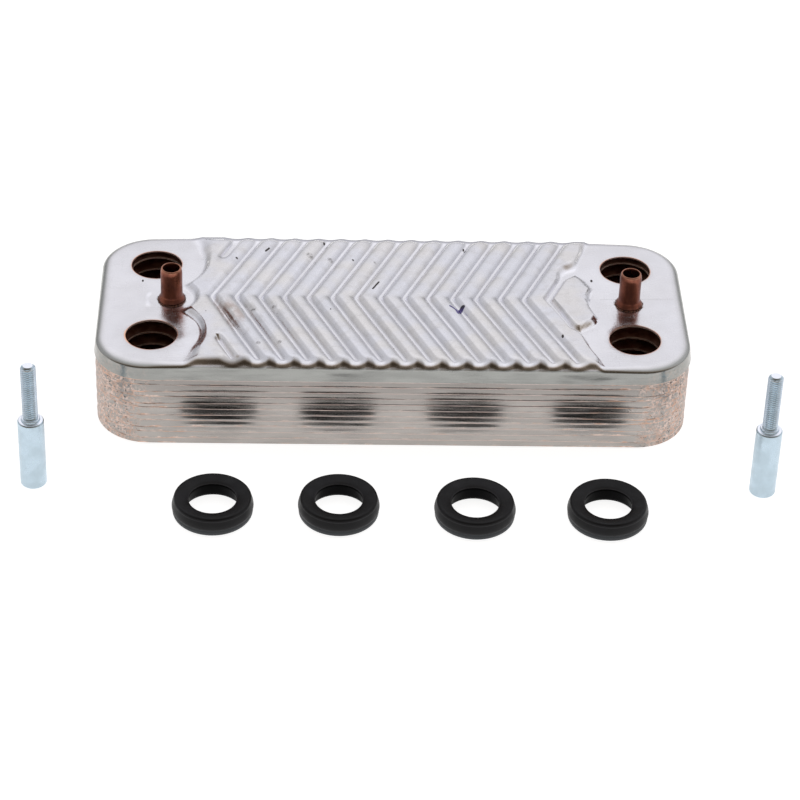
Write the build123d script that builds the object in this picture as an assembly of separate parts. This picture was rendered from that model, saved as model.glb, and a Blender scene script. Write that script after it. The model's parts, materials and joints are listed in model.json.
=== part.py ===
from build123d import *
import os
from math import asin, atan, cos, degrees, radians, tan

# Brazed plate heat exchanger of a combination boiler, with its loose port seals and fixing studs.
# Millimetres. +X along the length, +Y towards the rear, +Z up out of the port face.
# The origin is on the surface that everything stands on, under the centre of the four ports.

# Ports and tubes
PORT_SPACING_X = 154.0
PORT_SPACING_Y = 40.0
PORT_RADIUS = 8.25
TUBE_X = {"left": -71.3, "right": 76.6}
TUBE_RADIUS = 3.5
TUBE_BORE_RADIUS = 2.65
TUBE_STICK_OUT = 12.1
TUBE_COLLAR_RADIUS = 4.85
TUBE_COLLAR_HEIGHT = 1.5
TUBE_HOLE_CLEARANCE = 0.05

# Plate pack
CHANNEL_PLATES = 10
LENGTH = 190.0
WIDTH = 75.2
CORNER_RADIUS = 17.3
PLATE_PITCH = 2.245
SHEET = 0.25
COVER_EXTRA = 0.25
BRAZE_GAP = 0.09
SKIRT_DEPTH = 4.925
EDGE_MARGIN = 10.0

# Herringbone pressing
CHEVRONS = 15
CHEVRON_PITCH = 7.75
FIRST_APEX_X = -58.4
ARM_SLOPE = 0.447
GROOVE_FLOOR = 0.8
GROOVE_WALL_RUN = 1.2
PAD_LOBE_RADIUS = 15.4
PAD_LEAN = {"left": 8.0, "right": 11.0}
PAD_DEPTH_PAST_PORTS = 5.0
TUBE_LOBE_RADIUS = {"left": 7.0, "right": 13.0}
PORT_BOSS_RADIUS = 11.0
TUBE_BOSS_RADIUS = 5.2
STUB_START_Y = 24.0

# Inlet and island at the right end of the cover
INLET_ARM_Y = 16.0
ISLAND_GAP = 1.1
ISLAND_WALL_RUN = 0.95
ISLAND_REAR_Y = 14.0
ISLAND_PAD_SIDE = [(-0.5, 16.0), (4.0, 7.5), (2.5, 0), (5.0, -9.5), (-1.0, -19.0)]

# Loose pieces: where each one stands on the surface
SEAL_PLACES = [(-56.2, -73.0), (-17.3, -72.7), (24.8, -73.8), (66.0, -73.8)]
SEAL_BORE_RADIUS = 7.3
SEAL_FOOT_BORE_RADIUS = 8.9
SEAL_RADIUS = 12.65
SEAL_HEIGHT = 6.4
SEAL_WIDEST_Z = 3.0
SEAL_LIP_DROP = 1.0
STUD_PLACES = {"left": (-112.4, -58.5), "right": (115.9, -59.6)}
STUD_BARREL_RADIUS = 4.1
STUD_BARREL_LENGTH = 24.2
STUD_NECK_RADIUS = 2.9
STUD_NECK_LENGTH = 0.8
STUD_THREAD_RADIUS = 2.4
STUD_THREAD_LENGTH = 19.6
STUD_TIP_CHAMFER = 0.7
STUD_EDGE_CHAMFER = 0.4

# Worked out from the sizes above
PRESS = PLATE_PITCH - SHEET - BRAZE_GAP
DRAFT = degrees(asin((SHEET + BRAZE_GAP) / PLATE_PITCH))
SHEET_INSET = SHEET / cos(radians(DRAFT))
BRAZE_INSET = BRAZE_GAP / cos(radians(DRAFT))
COVER_INSET = -COVER_EXTRA / cos(radians(DRAFT))
RIDGE_Z = SKIRT_DEPTH + PRESS
STACK_RISE = PLATE_PITCH * (CHANNEL_PLATES + 1)
PAD_TOP_Z = STACK_RISE + SKIRT_DEPTH + COVER_EXTRA
PORTS = {
    f"{row}_{side}": (sx * PORT_SPACING_X / 2, sy * PORT_SPACING_Y / 2)
    for side, sx in (("left", -1), ("right", 1))
    for row, sy in (("front", -1), ("rear", 1))
}


def envelope(inset, low, high):
    """Space inside the drafted side wall, `inset` in from the skirt's lower edge at z = 0."""
    inset_low = inset + low * tan(radians(DRAFT))
    outline = RectangleRounded(
        LENGTH - 2 * inset_low, WIDTH - 2 * inset_low, CORNER_RADIUS - inset_low
    )
    return extrude(Plane.XY.offset(low) * outline, amount=high - low, taper=DRAFT)


def frustum(x, y, radius, run):
    """Cone that opens upwards from pad level to ridge level, or closes when `run` is negative."""
    base = min(radius, radius + run)
    top = Cone(base, max(radius, radius + run), PRESS, align=(Align.CENTER, Align.CENTER, Align.MIN))
    if run < 0:
        top = Pos(0, 0, PRESS) * Rot(180, 0, 0) * top
    return Pos(x, y, SKIRT_DEPTH) * top


def groove(start, end):
    """V groove with a narrow floor at pad level, from one plan point to another."""
    floor = GROOVE_FLOOR / 2
    top = floor + GROOVE_WALL_RUN
    section = Polyline((-floor, 0), (floor, 0), (top, PRESS), (-top, PRESS), close=True)
    a = Vector(start[0], start[1], SKIRT_DEPTH)
    b = Vector(end[0], end[1], SKIRT_DEPTH)
    along = (b - a).normalized()
    across = Vector(0, 0, 1).cross(along)
    face = Plane(origin=a, x_dir=across, z_dir=along) * make_face(section)
    return extrude(face, amount=(b - a).length)


def chevron(apex_x, point):
    """Two groove arms from an apex on the centre line; `point` is 1 for < and -1 for >."""
    reach = WIDTH / 2 + EDGE_MARGIN
    apex = (apex_x * point, 0)
    arms = [groove(apex, (point * (apex_x + ARM_SLOPE * reach), sy * reach)) for sy in (-1, 1)]
    return arms + [frustum(*apex, GROOVE_FLOOR / 2, GROOVE_WALL_RUN)]


def end_pad(side):
    """Cutters that lower one end to pad level: lobes round the ports and the tube, then the end.

    Past the ports, the pad's edge leans outwards on its way to the long sides.
    """
    sign = -1 if side == "left" else 1
    port_x = sign * PORT_SPACING_X / 2
    lobes = [
        frustum(port_x, sy * PORT_SPACING_Y / 2, PAD_LOBE_RADIUS, PRESS) for sy in (-1, 1)
    ]
    lobes.append(frustum(TUBE_X[side], 0, TUBE_LOBE_RADIUS[side], PRESS))
    depth = LENGTH / 2 + EDGE_MARGIN - abs(port_x)
    slab = Box(depth, WIDTH + 2 * EDGE_MARGIN, PRESS, align=(Align.MIN, Align.CENTER, Align.MIN))
    slab = Pos(abs(port_x), 0, SKIRT_DEPTH) * slab
    inner_x = abs(port_x) - PAD_LOBE_RADIUS
    outer_x = abs(port_x) + PAD_DEPTH_PAST_PORTS
    reach = WIDTH / 2 + EDGE_MARGIN
    lean = prism(
        [
            (inner_x, PORT_SPACING_Y / 2),
            (outer_x, PORT_SPACING_Y / 2),
            (outer_x, reach),
            (inner_x + PAD_LEAN[side], reach),
        ],
        PRESS,
    )
    ends = [slab, lean, lean.mirror(Plane.XZ)]
    return lobes + (ends if sign > 0 else [end.mirror(Plane.YZ) for end in ends])


def herringbone(point, chevrons, cutters=(), islands=()):
    """Block whose top is the pressed surface of a plate, with its chevrons and both end pads."""
    block = Box(
        LENGTH + 2 * EDGE_MARGIN,
        WIDTH + 2 * EDGE_MARGIN,
        RIDGE_Z + EDGE_MARGIN,
        align=(Align.CENTER, Align.CENTER, Align.MAX),
    )
    block = Pos(0, 0, RIDGE_Z) * block
    cutters = list(cutters) + end_pad("left") + end_pad("right")
    for i in range(chevrons):
        cutters += chevron(FIRST_APEX_X + i * CHEVRON_PITCH, point)
    surface = block - cutters
    return surface + list(islands) if islands else surface


def prism(points, run):
    """Sloped-sided prism from pad level to ridge level, wider by `run` at its top."""
    base = Pos(0, 0, SKIRT_DEPTH) * make_face(Polyline(*points, close=True))
    return extrude(base, amount=PRESS, taper=-degrees(atan(run / PRESS)))


def cover_surface():
    """The cover's own pressing: cut-short grooves at the left and an island at the right."""
    stub_apex_x = FIRST_APEX_X - CHEVRON_PITCH
    reach = WIDTH / 2 + EDGE_MARGIN
    stubs = []
    for sy in (-1, 1):
        start = (stub_apex_x + ARM_SLOPE * STUB_START_Y, sy * STUB_START_Y)
        stubs.append(groove(start, (stub_apex_x + ARM_SLOPE * reach, sy * reach)))
        stubs.append(frustum(*start, GROOVE_FLOOR / 2, GROOVE_WALL_RUN))
    apex_x = FIRST_APEX_X + (CHEVRONS - 1) * CHEVRON_PITCH
    arm_end_x = apex_x + ARM_SLOPE * INLET_ARM_Y
    pad_x = PORT_SPACING_X / 2 - PAD_LOBE_RADIUS
    port_y = PORT_SPACING_Y / 2
    inlet = [
        (apex_x, 0),
        (arm_end_x, INLET_ARM_Y),
        (pad_x, port_y),
        (pad_x + PAD_DEPTH_PAST_PORTS, port_y),
        (pad_x + PAD_DEPTH_PAST_PORTS, -port_y),
        (pad_x, -port_y),
        (arm_end_x, -INLET_ARM_Y),
    ]
    near_x = apex_x + ISLAND_GAP
    island = [
        (near_x, 0),
        (near_x + ARM_SLOPE * ISLAND_REAR_Y, ISLAND_REAR_Y),
        *[(pad_x + dx, y) for dx, y in ISLAND_PAD_SIDE],
        (near_x + ARM_SLOPE * INLET_ARM_Y, -INLET_ARM_Y),
    ]
    return herringbone(
        1, CHEVRONS - 1, stubs + [prism(inlet, GROOVE_WALL_RUN)], [prism(island, -ISLAND_WALL_RUN)]
    )


def bosses(k):
    """Raised seats of plate k: the front ports of odd plates and the rear ports of even ones."""
    row, side = ("front", "left") if k % 2 else ("rear", "right")
    seats = [
        frustum(x, y, PORT_BOSS_RADIUS + PRESS, -PRESS)
        for name, (x, y) in PORTS.items()
        if name.startswith(row)
    ]
    return seats + [frustum(TUBE_X[side], 0, TUBE_BOSS_RADIUS + PRESS, -PRESS)]


def drill(radius, places):
    """Vertical cutters through a whole plate."""
    return [
        Pos(x, y, SKIRT_DEPTH) * Cylinder(radius, 4 * SKIRT_DEPTH) for x, y in places
    ]


def tray(surface, outer_inset, raise_by):
    """Sheet-metal tray: pressed web and drafted skirt, with a constant wall under `surface`."""
    top = RIDGE_Z + EDGE_MARGIN / 2
    outer = envelope(outer_inset, 0, top) & (Pos(0, 0, raise_by) * surface)
    inner = envelope(SHEET_INSET, -1, top) & (Pos(0, 0, -SHEET) * surface)
    return outer - inner


def plate(k, surface):
    """Plate k counted down from the cover, which is 0; the last one has blind ports."""
    if k:
        surface = surface + bosses(k)
    sheet = tray(surface, 0 if k else COVER_INSET, 0 if k else COVER_EXTRA)
    holes = drill(
        TUBE_RADIUS + TUBE_HOLE_CLEARANCE, [(x, 0) for x in TUBE_X.values()]
    )
    if k <= CHANNEL_PLATES:
        holes += drill(PORT_RADIUS, PORTS.values())
    return sheet - holes


def foil(k):
    """Copper left by the foil between plate k and the plate below it: a rim seam and seat rings."""
    seam = envelope(SHEET_INSET, 0, SKIRT_DEPTH - PLATE_PITCH) - envelope(
        SHEET_INSET + BRAZE_INSET, -1, SKIRT_DEPTH
    )
    row, side = ("front", "left") if (k + 1) % 2 else ("rear", "right")
    seats = [(xy, PORT_BOSS_RADIUS, PORT_RADIUS) for n, xy in PORTS.items() if n.startswith(row)]
    seats.append(
        ((TUBE_X[side], 0), TUBE_BOSS_RADIUS, TUBE_RADIUS + TUBE_HOLE_CLEARANCE)
    )
    level = SKIRT_DEPTH - SHEET - BRAZE_GAP
    rings = [
        Pos(x, y, level) * extrude(Circle(outer) - Circle(bore), amount=BRAZE_GAP)
        for (x, y), outer, bore in seats
    ]
    return Compound([seam.solid()] + [ring.solid() for ring in rings])


def copper_tube(side):
    """Locating tube that runs right through the pack, with a flared collar on the port face."""
    bottom = SKIRT_DEPTH - SHEET - COVER_EXTRA
    top = PAD_TOP_Z + TUBE_STICK_OUT
    collar_top = PAD_TOP_Z + TUBE_COLLAR_HEIGHT
    profile = Polyline(
        (TUBE_BORE_RADIUS, bottom),
        (TUBE_RADIUS, bottom),
        (TUBE_RADIUS, PAD_TOP_Z),
        (TUBE_COLLAR_RADIUS, PAD_TOP_Z),
        (TUBE_COLLAR_RADIUS, PAD_TOP_Z + 0.3 * TUBE_COLLAR_HEIGHT),
        (TUBE_RADIUS, collar_top),
        (TUBE_RADIUS, top),
        (TUBE_BORE_RADIUS, top),
        close=True,
    )
    return Pos(TUBE_X[side], 0, 0) * revolve(make_face(Plane.XZ * profile), Axis.Z)


def port_seal():
    """Moulded ring: a foot band, a shallow neck, a conical flank and a dished mouth with a lip."""
    lip_z = SEAL_HEIGHT - SEAL_LIP_DROP
    profile = Polyline(
        (SEAL_FOOT_BORE_RADIUS, 0),
        (SEAL_RADIUS - 1.1, 0),
        (SEAL_RADIUS - 0.35, 0.55),
        (SEAL_RADIUS - 0.2, 1.6),
        (SEAL_RADIUS - 0.3, 2.3),
        (SEAL_RADIUS, SEAL_WIDEST_Z),
        (SEAL_RADIUS - 0.1, SEAL_WIDEST_Z + 0.9),
        (SEAL_RADIUS - 0.7, SEAL_HEIGHT - 0.4),
        (SEAL_RADIUS - 1.05, SEAL_HEIGHT - 0.1),
        (SEAL_RADIUS - 1.45, SEAL_HEIGHT),
        (SEAL_RADIUS - 3.15, SEAL_HEIGHT - 0.25),
        (SEAL_BORE_RADIUS + 0.9, SEAL_HEIGHT - 0.6),
        (SEAL_BORE_RADIUS, lip_z),
        (SEAL_BORE_RADIUS, lip_z - 0.6),
        close=True,
    )
    return revolve(make_face(Plane.XZ * profile), Axis.Z)


def fixing_stud():
    """Turned stud: a plain barrel, a short neck and a threaded end with a chamfered tip."""
    neck_z = STUD_BARREL_LENGTH + STUD_NECK_LENGTH
    tip_z = neck_z + STUD_THREAD_LENGTH
    profile = Polyline(
        (0, 0),
        (STUD_BARREL_RADIUS - STUD_EDGE_CHAMFER, 0),
        (STUD_BARREL_RADIUS, STUD_EDGE_CHAMFER),
        (STUD_BARREL_RADIUS, STUD_BARREL_LENGTH - STUD_EDGE_CHAMFER),
        (STUD_BARREL_RADIUS - STUD_EDGE_CHAMFER, STUD_BARREL_LENGTH),
        (STUD_NECK_RADIUS, STUD_BARREL_LENGTH),
        (STUD_NECK_RADIUS, neck_z),
        (STUD_THREAD_RADIUS, neck_z),
        (STUD_THREAD_RADIUS, tip_z - STUD_TIP_CHAMFER),
        (STUD_THREAD_RADIUS - STUD_TIP_CHAMFER, tip_z),
        (0, tip_z),
        close=True,
    )
    return revolve(make_face(Plane.XZ * profile), Axis.Z)


def write(shape, node):
    export_step(shape, f"parts/{node}.step")


os.makedirs("parts", exist_ok=True)

pressed = {1: herringbone(1, CHEVRONS), -1: herringbone(-1, CHEVRONS)}
made = {k: plate(k, pressed[-1 if k % 2 else 1]) for k in (1, 2, CHANNEL_PLATES + 1)}
made[0] = plate(0, cover_surface())
for k in range(CHANNEL_PLATES + 2):
    down = Pos(0, 0, STACK_RISE - k * PLATE_PITCH)
    if k == 0:
        write(down * made[0], "cover_plate")
    elif k <= CHANNEL_PLATES:
        write(down * made[2 - k % 2], f"channel_plate_{k:02d}")
    else:
        write(down * made[k], "back_plate")
    if k <= CHANNEL_PLATES:
        write(down * foil(k), f"copper_foil_{k + 1:02d}")

for side in TUBE_X:
    write(copper_tube(side), f"copper_tube_{side}")
for number, (x, y) in enumerate(SEAL_PLACES, start=1):
    write(Pos(x, y, 0) * port_seal(), f"port_seal_{number}")
for side, (x, y) in STUD_PLACES.items():
    write(Pos(x, y, 0) * fixing_stud(), f"fixing_stud_{side}")
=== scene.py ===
import json
import math
from functools import reduce

import bpy
import numpy as np
from mathutils import Matrix, Vector, noise


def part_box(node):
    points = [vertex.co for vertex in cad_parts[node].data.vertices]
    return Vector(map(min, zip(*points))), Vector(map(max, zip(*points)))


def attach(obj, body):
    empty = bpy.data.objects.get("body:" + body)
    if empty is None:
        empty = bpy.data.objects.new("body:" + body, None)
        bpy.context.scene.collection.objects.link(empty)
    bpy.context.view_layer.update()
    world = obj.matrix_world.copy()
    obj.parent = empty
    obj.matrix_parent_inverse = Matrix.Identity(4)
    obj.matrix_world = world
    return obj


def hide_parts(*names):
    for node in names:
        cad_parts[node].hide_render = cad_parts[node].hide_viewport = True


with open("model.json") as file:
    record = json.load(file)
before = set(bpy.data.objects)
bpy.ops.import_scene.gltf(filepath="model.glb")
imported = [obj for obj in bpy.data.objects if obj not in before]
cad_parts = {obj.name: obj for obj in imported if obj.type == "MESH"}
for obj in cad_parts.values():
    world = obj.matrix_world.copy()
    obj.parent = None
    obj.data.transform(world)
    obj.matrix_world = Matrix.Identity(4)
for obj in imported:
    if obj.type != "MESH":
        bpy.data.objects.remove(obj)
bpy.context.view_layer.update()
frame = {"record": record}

# Looks of a brazed plate heat exchanger that lies with its port face up, with its four rubber
# seals and two fixing studs laid out round it. Lengths are in millimetres, in the frame of the
# CAD model, and become metres when a mesh is made.
MM = 0.001
mounts = {m["name"]: m for m in frame["record"]["mounts"]}


def place(mount):
    """Where the record puts a mount, in millimetres."""
    return np.array(mounts[mount]["pos_m"]) / MM


def box_mm(node):
    low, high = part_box(node)
    return np.array(low) / MM, np.array(high) / MM


# ---- sizes from the frame
PLATES = 12
NODES = ["cover_plate"] + [f"channel_plate_{k:02d}" for k in range(1, PLATES - 1)] + ["back_plate"]
PORTS = {name[5:]: place(name)[:2] for name in mounts if name.startswith("port_")}
PORT_RADIUS = mounts["port_front_left"]["dims"]["r_mm"]
TUBE_X = {side: place(f"locating_tube_{side}")[0] for side in ("left", "right")}
TUBE_RADIUS = mounts["locating_tube_left"]["dims"]["r_mm"]
TUBE_BORE = mounts["fixing_bore_left"]["dims"]["r_mm"]
PORT_X = PORTS["front_right"][0]
PORT_Y = PORTS["rear_right"][1]
COVER_SHEET = mounts["port_front_left"]["dims"]["length_mm"]
PAD_Z = place("port_front_left")[2] + COVER_SHEET / 2
COVER_EDGE_Z = box_mm("cover_plate")[0][2]
RIDGE_Z = box_mm("cover_plate")[1][2]
PRESS = RIDGE_Z - PAD_Z
PITCH = COVER_EDGE_Z / (PLATES - 1)
SHEET = 0.25
COVER_EXTRA = COVER_SHEET - SHEET
SKIRT = PAD_Z - COVER_EDGE_Z - COVER_EXTRA
DRAFT = math.asin((PITCH - PRESS) / PITCH)
CORNER_RADIUS = 17.3

# ---- herringbone pressing
CHEVRONS = 15
CHEVRON_PITCH = 7.75
FIRST_APEX_X = -58.4
APEX_Y = 0.9
ARM_SLOPE = 0.447
ARM_COS = 1 / math.hypot(1, ARM_SLOPE)
GROOVE_FLOOR = 0.05       # flat share of a groove, of half the pitch
GROOVE_WALL = 1.5
RIDGE_ROUND = 3.0         # the higher, the flatter the ridges and the narrower the grooves
EDGE_GROOVE = {"front": 0.3, "rear": 0.1}    # height shares kept where the web meets the bend
EDGE_RIDGE = {"front": 1.0, "rear": 0.5}
EDGE_FADE = {"front": (32.8, 35.0), "rear": (32.0, 34.8)}
EDGE_RUN = 33.4           # where the run-outs stop following the slant of the arms
PAD_WALL = 2.3
EDGE_EASE = 2.6           # how much gentler the wall of the left pad gets at the long edges
RIGHT_EASE = 1.82         # the same for the right pad
LEFT_REAR_EASE = 2.8      # more of it along the rear of the left pad
INLET_EASE = 4.5          # the same at the rear corner of the inlet's distribution area
EASE_FROM = 27.0          # how far out in y the walls start to ease, and over what length
EASE_RUN = 7.0
LOBE_RADIUS = 15.4
LOBE_REACH_Y = 17.0       # how far a lobe runs on past its port
END_PAD_REACH = 3.0       # how far beyond the ports' line the flat end of the pack begins
LOBE_SHIFT = {"left": 7.8, "right": 7.0}    # how far a lobe leans outwards on its way to the edge
TUBE_LOBE_RADIUS = 7.0
BOSS_RADIUS = 11.0
TUBE_BOSS_RADIUS = 5.2
BEND_RADIUS = 2.2
BEND_RIDGE_EXTRA = 0.9    # how much wider the bend is at the ridges
BEND_END_EXTRA = 1.5      # how much wider it is round both ends
BEND_DROP = {"front": 1.15, "rear": 1.9}       # how far below the pads the skirt starts
BEND_STEPS = 9
BEND_END = (66, 16)       # where the bend starts to widen towards the ends, and over what length


def smooth(t):
    t = np.clip(t, 0, 1)
    return t * t * (3 - 2 * t)


def towards_ends(x, start, run):
    """Rises to 1 towards both ends of the pack."""
    return smooth((np.abs(x) - start) / run)


def soft_abs(v, width=0.45):
    return np.sqrt(v * v + width * width) - width


def relief(x, y):
    """Sine and cosine of the place across the herringbone; the sine is positive on rear slopes."""
    along = x - ARM_SLOPE * soft_abs(y - APEX_Y)
    i = np.clip(np.round((along - FIRST_APEX_X) / CHEVRON_PITCH), 0, CHEVRONS - 2)
    turn = np.clip((along - FIRST_APEX_X - i * CHEVRON_PITCH) / (CHEVRON_PITCH / 2), -1, 1) * math.pi
    return np.sin(turn) * np.clip((y - APEX_Y) / 0.7, -1, 1), np.cos(turn)


def to_segment(x, y, a, b):
    """Distance from points to a plan segment."""
    ax, ay = a
    dx, dy = b[0] - ax, b[1] - ay
    t = np.clip(((x - ax) * dx + (y - ay) * dy) / (dx * dx + dy * dy), 0, 1)
    return np.hypot(x - ax - t * dx, y - ay - t * dy)


def to_polygon(x, y, points):
    """Signed distance to a plan polygon, negative inside."""
    inside = np.zeros(x.shape, bool)
    nearest = np.full(x.shape, 1e9)
    for a, b in zip(points, points[1:] + points[:1]):
        nearest = np.minimum(nearest, to_segment(x, y, a, b))
        crosses = (a[1] > y) != (b[1] > y)
        run = (b[0] - a[0]) / (b[1] - a[1] if b[1] != a[1] else 1e-9)
        inside ^= crosses & (x < a[0] + (y - a[1]) * run)
    return np.where(inside, -nearest, nearest)


def blend_min(a, b, width=2.0):
    """Smaller of two distances, rounded where they meet."""
    h = np.clip(0.5 + 0.5 * (b - a) / width, 0, 1)
    return b * (1 - h) + a * h - width * h * (1 - h)


def groove_share(x, y, first, last, point, apex_y):
    """Distance from the nearest groove as a share of half the pitch: 1 half way to the next."""
    along = point * x - ARM_SLOPE * soft_abs(y - apex_y)
    i = np.clip(np.round((along - FIRST_APEX_X) / CHEVRON_PITCH), first, last)
    return np.abs(along - FIRST_APEX_X - i * CHEVRON_PITCH) / (CHEVRON_PITCH / 2)


def ridge(share):
    """Height of the pressing at a share of the way from a groove to the ridge beside it."""
    share = np.clip((soft_abs(share, 0.06) - GROOVE_FLOOR) / (1 - GROOVE_FLOOR), 0, 1)
    return 1 - (1 - share) ** RIDGE_ROUND


def scallop(share, edge):
    """The same where the ridges run out over the bend: wide valleys between sharp cusps."""
    rise = 1 - np.cos(math.pi / 2 * np.clip(share, 0, 1))
    return EDGE_GROOVE[edge] + (EDGE_RIDGE[edge] - EDGE_GROOVE[edge]) * rise


def run_out(y, edge):
    """Mask that rises to 1 at one long edge."""
    start, end = EDGE_FADE[edge]
    return smooth(((y if edge == "rear" else -y) - start) / (end - start))


def pad_distance(x, y, side, tube_lobe):
    """Distance outside one end's pad: lobes round the ports and the tube, and the end itself."""
    sign = -1 if side == "left" else 1
    outer = (PORT_X + LOBE_SHIFT[side], PORT_Y + LOBE_REACH_Y)
    d = to_segment(sign * x, np.abs(y), (PORT_X, PORT_Y), outer) - LOBE_RADIUS
    d = blend_min(d, np.hypot(x - TUBE_X[side], y) - tube_lobe)
    return blend_min(d, PORT_X + END_PAD_REACH - sign * x)


APEX_X = FIRST_APEX_X + (CHEVRONS - 1) * CHEVRON_PITCH
PAD_EDGE_X = PORT_X - LOBE_RADIUS
INLET = [
    (APEX_X, APEX_Y),
    (APEX_X + 6.2, APEX_Y + 13.9),
    (APEX_X + 8.2, APEX_Y + 16.2),
    (PAD_EDGE_X + 1.5, PORT_Y - 1.0),
    (PAD_EDGE_X + 12, PORT_Y - 3),
    (PAD_EDGE_X + 12, 3 - PORT_Y),
    (PAD_EDGE_X + 0.4, -PORT_Y),
    (PAD_EDGE_X - 1.8, APEX_Y - 18.4),
    (APEX_X + 7.2, APEX_Y - 16.1),
]
ISLAND = [
    (APEX_X + 1.1, APEX_Y - 0.3),
    (APEX_X + 6.1, APEX_Y + 11.2),
    (APEX_X + 10.2, APEX_Y + 14.2),
    (APEX_X + 12.4, APEX_Y + 11.3),
    (APEX_X + 14.6, APEX_Y + 6.4),
    (APEX_X + 13.2, APEX_Y - 1.4),
    (APEX_X + 15.4, APEX_Y - 10.0),
    (APEX_X + 14.3, APEX_Y - 13.0),
    (APEX_X + 9.3, APEX_Y - 17.2),
    (APEX_X + 7.4, APEX_Y - 15.4),
]
STUB_APEX_X = FIRST_APEX_X - CHEVRON_PITCH
STUBS = [(1, 24.4, 40.0, 0.55), (-1, 23.4, 42.0, 0.0)]


def cover_raise(x, y):
    """Raised share of the cover plate: 0 on the pads and in the grooves, 1 on the ridges."""
    up = ridge(groove_share(x, y, 0, CHEVRONS - 2, 1, APEX_Y))
    at_edge = groove_share(x, np.maximum(y, -EDGE_RUN), -1, CHEVRONS - 2, 1, APEX_Y)
    left = pad_distance(x, y, "left", TUBE_LOBE_RADIUS)
    right = blend_min(pad_distance(x, y, "right", TUBE_LOBE_RADIUS), to_polygon(x, y, INLET), 2.2)
    for sy, near, far, floor in STUBS:
        start = (STUB_APEX_X + ARM_SLOPE * near, sy * near)
        end = (STUB_APEX_X + ARM_SLOPE * far, sy * far)
        off = 1.4 * np.maximum(to_segment(x, y, start, end) - floor, 0)
        up = np.minimum(up, ridge(off / (CHEVRON_PITCH / 2 * ARM_COS)))
    for edge in ("front", "rear"):
        fade = run_out(y, edge)
        up = up * (1 - fade) + scallop(at_edge, edge) * fade
    ease = EDGE_EASE * smooth((np.abs(y) - EASE_FROM) / EASE_RUN)
    ease = ease + LEFT_REAR_EASE * smooth((y - 19) / 15)
    up = np.minimum(up, smooth(left / (PAD_WALL + ease)))
    ease = np.maximum(smooth((y - EASE_FROM) / EASE_RUN), smooth((-y - 31.5) / 3))
    ease = RIGHT_EASE * ease
    corner_x, corner_y = INLET[2]
    ease = ease + INLET_EASE * smooth(1 - np.hypot(x - corner_x, y - corner_y) / 7)
    up = np.minimum(up, smooth((right - 0.1) / (GROOVE_WALL + ease)))
    return np.maximum(up, smooth((0.3 - to_polygon(x, y, ISLAND)) / 1.45))


def channel_raise(k):
    """The same for the channel plates, whose seats rise round two ports and one tube."""
    point = -1 if k % 2 else 1
    row, side = (-1, "left") if k % 2 else (1, "right")

    def raise_share(x, y):
        up = ridge(groove_share(x, y, 0, CHEVRONS - 1, point, 0))
        for end in ("left", "right"):
            lobe = TUBE_LOBE_RADIUS if end == "left" else 13.0
            up = np.minimum(up, smooth(pad_distance(x, y, end, lobe) / PAD_WALL))
        seat = np.hypot(np.abs(x) - PORT_X, y - row * PORT_Y) - BOSS_RADIUS
        seat = np.minimum(seat, np.hypot(x - TUBE_X[side], y) - TUBE_BOSS_RADIUS)
        return np.maximum(up, 1 - smooth(seat / PRESS))

    return raise_share


def ripple(x, y, size, seed):
    """Smooth random field from -1 to 1, with features of about `size`."""
    flat = [noise.noise(Vector((a / size, b / size, seed))) for a, b in zip(x.flat, y.flat)]
    return np.array(flat).reshape(x.shape)


def edge_wave(x, y, k):
    """How far the lower edge of plate k's skirt strays: neighbours pair up towards the ends."""
    ends = towards_ends(x, 52, 30)
    pairing = 0.30 * ends * (1 if k % 2 else -1)
    free = 0.09 * ripple(x, y, 21, 3.7 * k) + 0.04 * ripple(x, y, 7, 1.9 * k + 40)
    wave = free * (1 + 1.8 * ends) + pairing
    return np.zeros_like(wave) if k in (0, PLATES - 1) else wave


# ---- mesh helpers
def new_mesh(name, points, faces, materials, indices=None):
    """Object from points in millimetres and a list of faces."""
    mesh = bpy.data.meshes.new(name)
    mesh.from_pydata((np.asarray(points, float) * MM).tolist(), [], [list(f) for f in faces])
    for m in materials:
        mesh.materials.append(m)
    if indices is not None:
        mesh.polygons.foreach_set("material_index", np.asarray(indices, np.int32))
    mesh.update()
    obj = bpy.data.objects.new(name, mesh)
    bpy.context.scene.collection.objects.link(obj)
    return obj


def apply_modifiers(obj):
    """Bakes the modifiers into the mesh."""
    evaluated = obj.evaluated_get(bpy.context.evaluated_depsgraph_get())
    mesh = bpy.data.meshes.new_from_object(evaluated)
    old = obj.data
    obj.modifiers.clear()
    obj.data = mesh
    bpy.data.meshes.remove(old)
    return obj


def finish_shading(obj, angle=35):
    obj.data.shade_smooth()
    obj.data.set_sharp_from_angle(angle=math.radians(angle))
    return obj


def ring_faces(rows, columns, close_rows=False, close_columns=True):
    """Quads of a grid of points stored row by row."""
    r_count = rows if close_rows else rows - 1
    c_count = columns if close_columns else columns - 1
    r, c = np.meshgrid(np.arange(r_count), np.arange(c_count), indexing="ij")
    r2, c2 = (r + 1) % rows, (c + 1) % columns
    quads = np.stack([r * columns + c, r * columns + c2, r2 * columns + c2, r2 * columns + c], -1)
    return quads.reshape(-1, 4)


def rounded_profile(points, steps=4):
    """Closed or open profile of (radius, height, corner radius), with its corners as arcs."""
    out = []
    n = len(points)
    for i, (r, z, corner) in enumerate(points):
        here = np.array([r, z])
        if not corner or i in (0, n - 1):
            out.append(here)
            continue
        before = np.array(points[i - 1][:2]) - here
        after = np.array(points[i + 1][:2]) - here
        reach = min(corner, 0.45 * np.linalg.norm(before), 0.45 * np.linalg.norm(after))
        a = here + before / np.linalg.norm(before) * reach
        b = here + after / np.linalg.norm(after) * reach
        for t in np.linspace(0, 1, steps + 1):
            out.append(a * (1 - t) ** 2 + here * 2 * t * (1 - t) + b * t * t)
    return np.array(out)


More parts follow.
